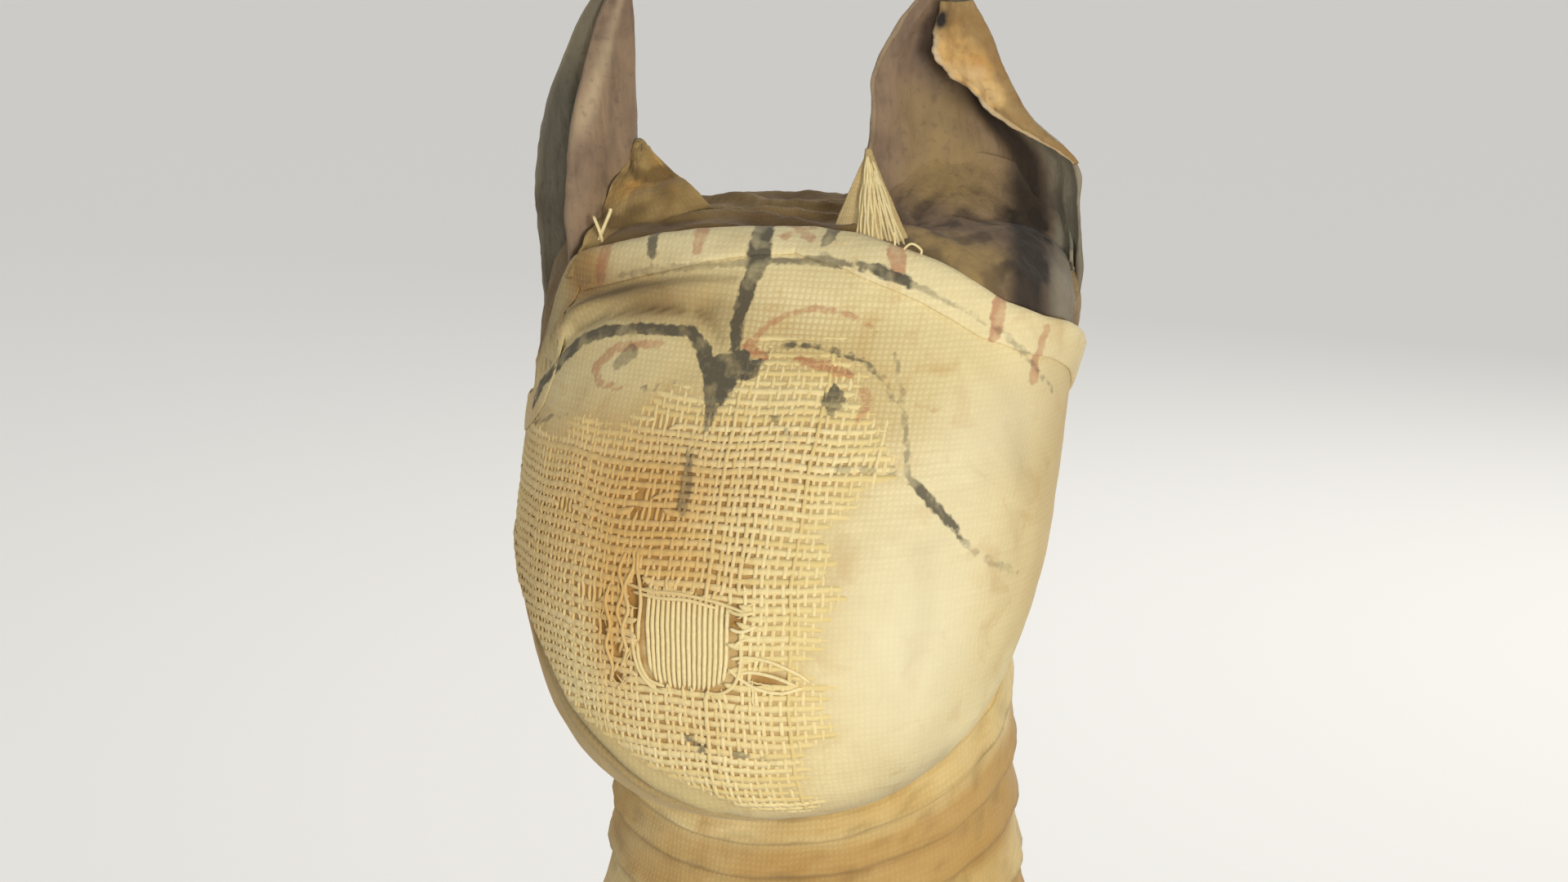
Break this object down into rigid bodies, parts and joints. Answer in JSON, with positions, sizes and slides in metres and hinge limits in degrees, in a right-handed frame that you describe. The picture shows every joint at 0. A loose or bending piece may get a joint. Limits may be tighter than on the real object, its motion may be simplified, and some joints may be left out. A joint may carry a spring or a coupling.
{
  "type": "egyptian animal mummy",
  "caption": "Wrapped cat mummy on its flat foot end, with a painted linen face mask, dried upright ears and overlapping bandages.",
  "frame": {"origin": "centre of the flat foot face, on the body's axis", "axes": "+Z from the foot to the head, -Y out of the painted face, +X to the animal's own left"},
  "size_m": [0.1084, 0.1034, 0.4376],
  "materials": {
    "linen_cream": "undyed linen, aged to cream",
    "linen_ochre": "undyed linen, darkened to ochre",
    "linen_amber": "linen stained amber by resin",
    "linen_stained": "linen stained brown by resin",
    "linen_coarse": "coarse wadding linen, dusty",
    "ear_hide": "dried hide, dusty brown",
    "ear_inner_hide": "dried hide, brown",
    "ear_raw_hide": "raw hide, ochre",
    "bone": "bone with dried skin on it",
    "dried_flesh": "dried skin and flesh, dark brown"
  },
  "bodies": {
    "root": {"face_mask": "linen_cream", "brow_hem": "linen_cream", "crown_cloth": "linen_stained", "left_ear_hide": "ear_hide", "right_ear_hide": "ear_hide", "left_ear_lining": "ear_inner_hide", "right_ear_lining": "ear_inner_hide", "left_ear_flap": "ear_raw_hide", "left_ear_collar": "linen_cream", "right_ear_collar": "linen_amber", "foot_bandage": "linen_ochre", "hip_bandage": "linen_cream", "belly_bandage": "linen_ochre", "chest_bandage": "linen_cream", "shoulder_bandage": "linen_amber", "neck_bandage": "linen_cream", "inner_shroud": "linen_coarse", "foot_pad": "linen_coarse", "front_packing": "linen_coarse", "back_packing": "linen_coarse", "face_pad": "linen_coarse", "left_head_pad": "linen_coarse", "right_head_pad": "linen_coarse", "skull": "bone", "lower_jaw": "bone", "neck_bones": "bone", "trunk": "dried_flesh", "left_foreleg": "dried_flesh", "right_foreleg": "dried_flesh", "left_hind_leg": "dried_flesh", "right_hind_leg": "dried_flesh", "tail": "dried_flesh"}
  },
  "joints": []
}
